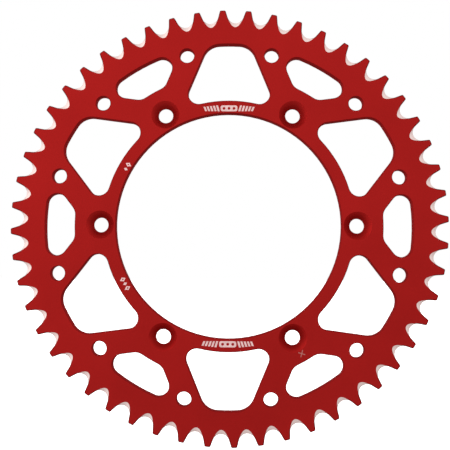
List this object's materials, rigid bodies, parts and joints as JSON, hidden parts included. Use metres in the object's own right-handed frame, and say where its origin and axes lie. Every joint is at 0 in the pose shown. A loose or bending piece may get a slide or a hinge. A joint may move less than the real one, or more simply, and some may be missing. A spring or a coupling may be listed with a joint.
{
  "type": "rear sprocket",
  "caption": "Flat red anodised chain sprocket for a motorcycle rear wheel: a toothed plate with a large hub bore, countersunk bolt holes, windows between straight spokes and mud grooves.",
  "frame": {"origin": "on the bore axis, half way through the plate's thickness", "axes": "+Y along the bore axis towards the wheel hub, so the countersunk front face looks towards -Y; +X runs through a bolt hole; +Z runs through the middle of a wide window"},
  "size_m": [0.2688, 0.006, 0.2688],
  "materials": {
    "anodised_aluminium": "satin, dyed red by anodising"
  },
  "bodies": {
    "root": {"sprocket": "anodised_aluminium"}
  },
  "joints": []
}
